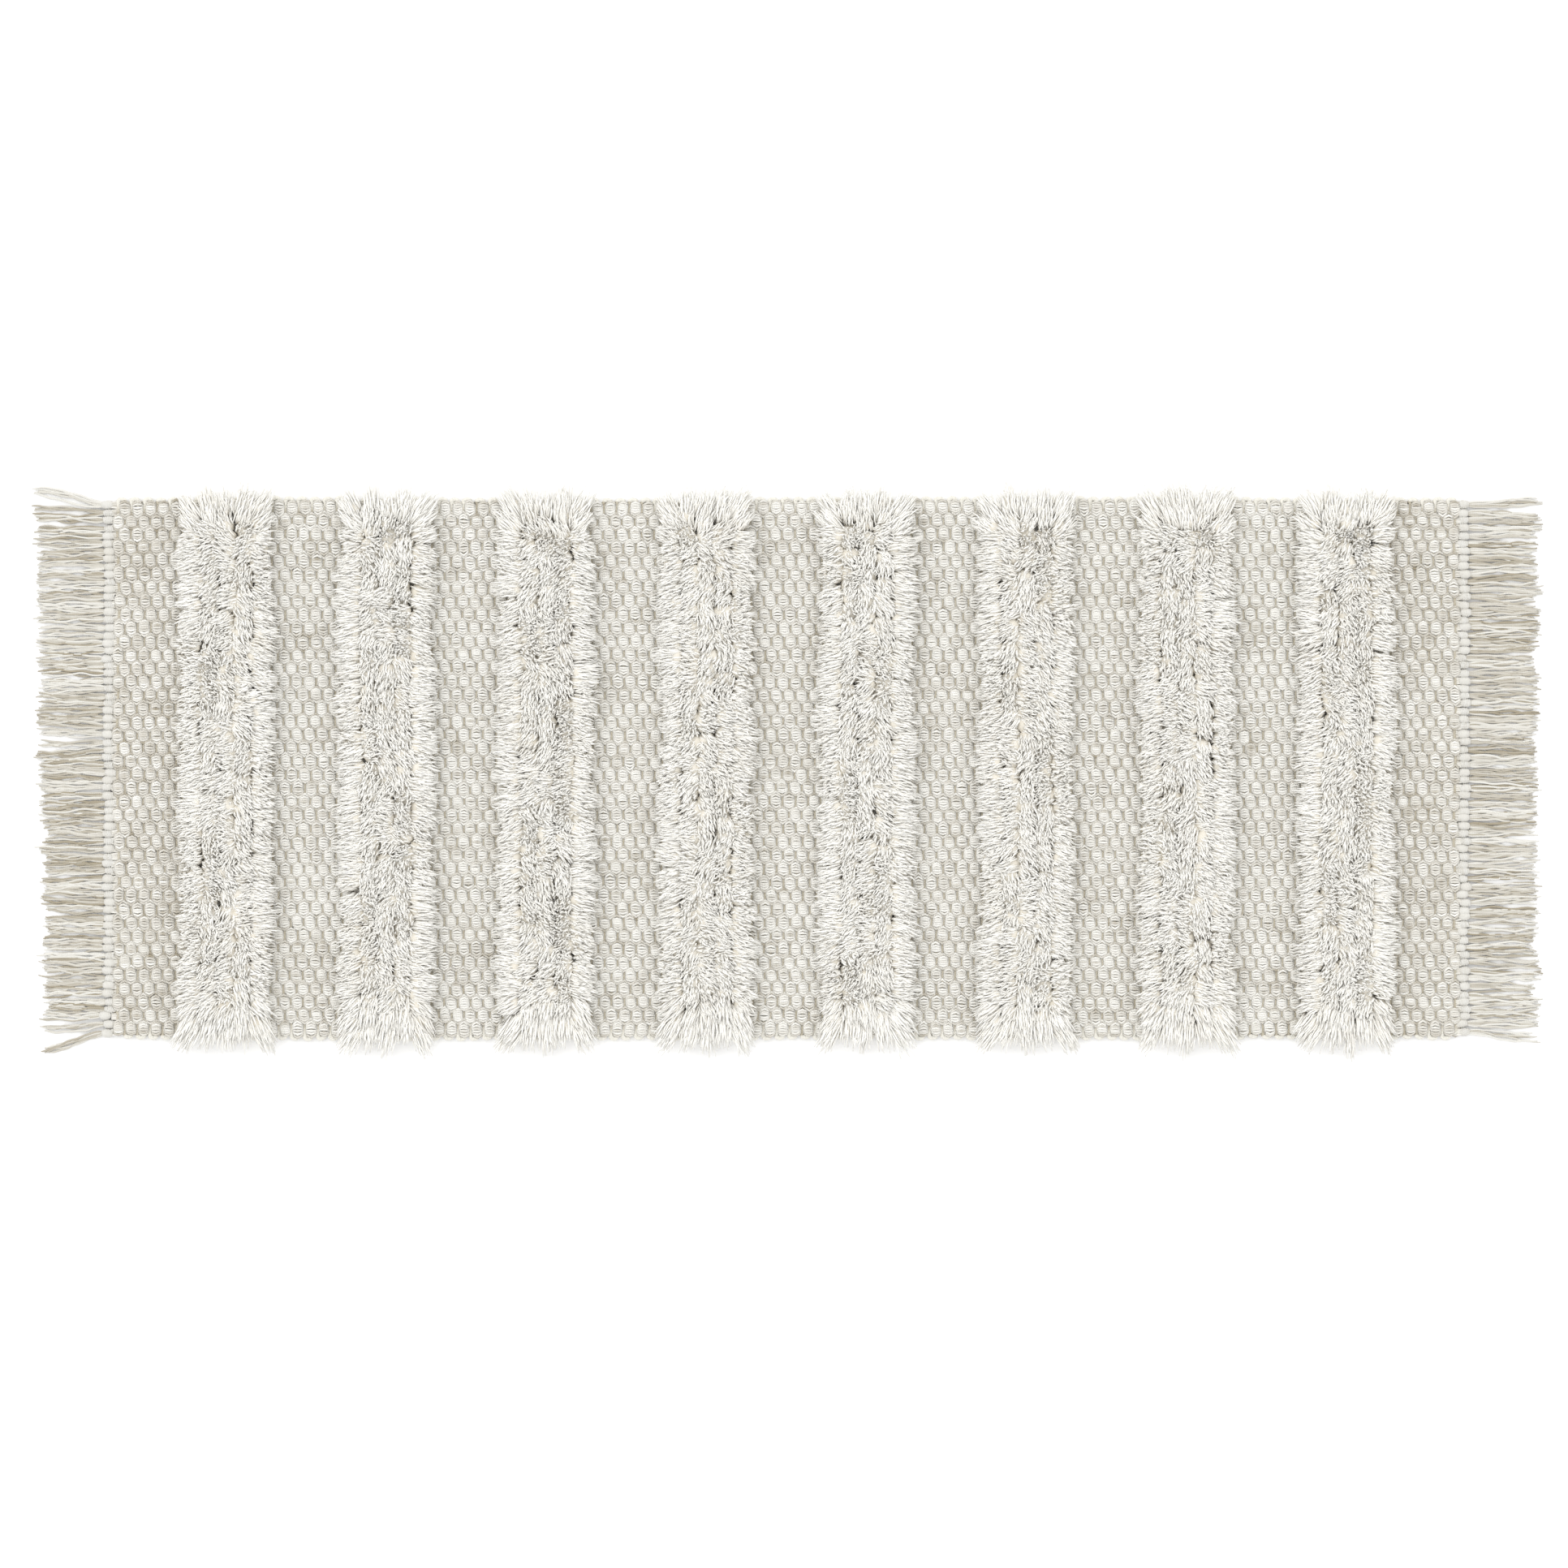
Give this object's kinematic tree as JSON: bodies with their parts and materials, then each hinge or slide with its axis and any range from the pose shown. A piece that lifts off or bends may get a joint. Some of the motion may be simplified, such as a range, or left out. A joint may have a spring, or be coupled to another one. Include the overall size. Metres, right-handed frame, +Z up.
{
  "type": "runner rug",
  "caption": "Long narrow hand-woven cotton floor rug with flat-woven fields, raised shaggy pile bands across it and a knotted fringe at both short ends.",
  "frame": {"origin": "on the floor, under the centre of the rug", "axes": "+X along the rug, +Y across it, +Z up out of the pile"},
  "size_m": [2.1988, 0.824, 0.037],
  "materials": {
    "warp_cotton": "matt off-white cotton yarn",
    "weft_cotton": "matt natural cotton cord",
    "pile_cotton": "soft fluffy cut cotton",
    "fringe_cotton": "matt off-white cotton yarn"
  },
  "bodies": {
    "end_left": {"ground_end_left": "warp_cotton", "weft_end_left": "weft_cotton", "knots_left": "fringe_cotton", "fringe_left": "fringe_cotton"},
    "band_1": {"ground_band_1": "warp_cotton", "weft_band_1": "weft_cotton", "pile_band_1": "pile_cotton"},
    "field_1": {"ground_field_1": "warp_cotton", "weft_field_1": "weft_cotton"},
    "band_2": {"ground_band_2": "warp_cotton", "weft_band_2": "weft_cotton", "pile_band_2": "pile_cotton"},
    "field_2": {"ground_field_2": "warp_cotton", "weft_field_2": "weft_cotton"},
    "band_3": {"ground_band_3": "warp_cotton", "weft_band_3": "weft_cotton", "pile_band_3": "pile_cotton"},
    "field_3": {"ground_field_3": "warp_cotton", "weft_field_3": "weft_cotton"},
    "band_4": {"ground_band_4": "warp_cotton", "weft_band_4": "weft_cotton", "pile_band_4": "pile_cotton"},
    "field_4": {"ground_field_4": "warp_cotton", "weft_field_4": "weft_cotton"},
    "band_5": {"ground_band_5": "warp_cotton", "weft_band_5": "weft_cotton", "pile_band_5": "pile_cotton"},
    "field_5": {"ground_field_5": "warp_cotton", "weft_field_5": "weft_cotton"},
    "band_6": {"ground_band_6": "warp_cotton", "weft_band_6": "weft_cotton", "pile_band_6": "pile_cotton"},
    "field_6": {"ground_field_6": "warp_cotton", "weft_field_6": "weft_cotton"},
    "band_7": {"ground_band_7": "warp_cotton", "weft_band_7": "weft_cotton", "pile_band_7": "pile_cotton"},
    "field_7": {"ground_field_7": "warp_cotton", "weft_field_7": "weft_cotton"},
    "band_8": {"ground_band_8": "warp_cotton", "weft_band_8": "weft_cotton", "pile_band_8": "pile_cotton"},
    "end_right": {"ground_end_right": "warp_cotton", "weft_end_right": "weft_cotton"},
    "fringe_right": {"knots_right": "fringe_cotton", "fringe_right": "fringe_cotton"}
  },
  "joints": [
    {"name": "roll_band_1", "type": "hinge", "parent": "end_left", "child": "band_1", "pos_m": [-0.88125, 0, 0.012], "axis": [0, -1, 0], "range_deg": [0, 25]},
    {"name": "roll_field_1", "type": "hinge", "parent": "band_1", "child": "field_1", "pos_m": [-0.75938, 0, 0.012], "axis": [0, -1, 0], "range_deg": [0, 26.25]},
    {"name": "roll_band_2", "type": "hinge", "parent": "field_1", "child": "band_2", "pos_m": [-0.64687, 0, 0.012], "axis": [0, -1, 0], "range_deg": [0, 27.5]},
    {"name": "roll_field_2", "type": "hinge", "parent": "band_2", "child": "field_2", "pos_m": [-0.525, 0, 0.012], "axis": [0, -1, 0], "range_deg": [0, 28.75]},
    {"name": "roll_band_3", "type": "hinge", "parent": "field_2", "child": "band_3", "pos_m": [-0.4125, 0, 0.012], "axis": [0, -1, 0], "range_deg": [0, 30]},
    {"name": "roll_field_3", "type": "hinge", "parent": "band_3", "child": "field_3", "pos_m": [-0.29063, 0, 0.012], "axis": [0, -1, 0], "range_deg": [0, 31.25]},
    {"name": "roll_band_4", "type": "hinge", "parent": "field_3", "child": "band_4", "pos_m": [-0.17813, 0, 0.012], "axis": [0, -1, 0], "range_deg": [0, 32.5]},
    {"name": "roll_field_4", "type": "hinge", "parent": "band_4", "child": "field_4", "pos_m": [-0.05625, 0, 0.012], "axis": [0, -1, 0], "range_deg": [0, 33.75]},
    {"name": "roll_band_5", "type": "hinge", "parent": "field_4", "child": "band_5", "pos_m": [0.05625, 0, 0.012], "axis": [0, -1, 0], "range_deg": [0, 35]},
    {"name": "roll_field_5", "type": "hinge", "parent": "band_5", "child": "field_5", "pos_m": [0.17813, 0, 0.012], "axis": [0, -1, 0], "range_deg": [0, 36.25]},
    {"name": "roll_band_6", "type": "hinge", "parent": "field_5", "child": "band_6", "pos_m": [0.29063, 0, 0.012], "axis": [0, -1, 0], "range_deg": [0, 37.5]},
    {"name": "roll_field_6", "type": "hinge", "parent": "band_6", "child": "field_6", "pos_m": [0.4125, 0, 0.012], "axis": [0, -1, 0], "range_deg": [0, 38.75]},
    {"name": "roll_band_7", "type": "hinge", "parent": "field_6", "child": "band_7", "pos_m": [0.525, 0, 0.012], "axis": [0, -1, 0], "range_deg": [0, 40]},
    {"name": "roll_field_7", "type": "hinge", "parent": "band_7", "child": "field_7", "pos_m": [0.64687, 0, 0.012], "axis": [0, -1, 0], "range_deg": [0, 41.25]},
    {"name": "roll_band_8", "type": "hinge", "parent": "field_7", "child": "band_8", "pos_m": [0.75938, 0, 0.012], "axis": [0, -1, 0], "range_deg": [0, 42.5]},
    {"name": "roll_end_right", "type": "hinge", "parent": "band_8", "child": "end_right", "pos_m": [0.88125, 0, 0.012], "axis": [0, -1, 0], "range_deg": [0, 43.75]},
    {"name": "roll_fringe_right", "type": "hinge", "parent": "end_right", "child": "fringe_right", "pos_m": [0.98438, 0, 0.012], "axis": [0, -1, 0], "range_deg": [0, 60]}
  ],
  "couplings": [
    {"joint": "roll_field_1", "follows": "roll_band_1", "ratio": 1.05},
    {"joint": "roll_band_2", "follows": "roll_band_1", "ratio": 1.1},
    {"joint": "roll_field_2", "follows": "roll_band_1", "ratio": 1.15},
    {"joint": "roll_band_3", "follows": "roll_band_1", "ratio": 1.2},
    {"joint": "roll_field_3", "follows": "roll_band_1", "ratio": 1.25},
    {"joint": "roll_band_4", "follows": "roll_band_1", "ratio": 1.3},
    {"joint": "roll_field_4", "follows": "roll_band_1", "ratio": 1.35},
    {"joint": "roll_band_5", "follows": "roll_band_1", "ratio": 1.4},
    {"joint": "roll_field_5", "follows": "roll_band_1", "ratio": 1.45},
    {"joint": "roll_band_6", "follows": "roll_band_1", "ratio": 1.5},
    {"joint": "roll_field_6", "follows": "roll_band_1", "ratio": 1.55},
    {"joint": "roll_band_7", "follows": "roll_band_1", "ratio": 1.6},
    {"joint": "roll_field_7", "follows": "roll_band_1", "ratio": 1.65},
    {"joint": "roll_band_8", "follows": "roll_band_1", "ratio": 1.7},
    {"joint": "roll_end_right", "follows": "roll_band_1", "ratio": 1.75},
    {"joint": "roll_fringe_right", "follows": "roll_band_1", "ratio": 2.4}
  ]
}
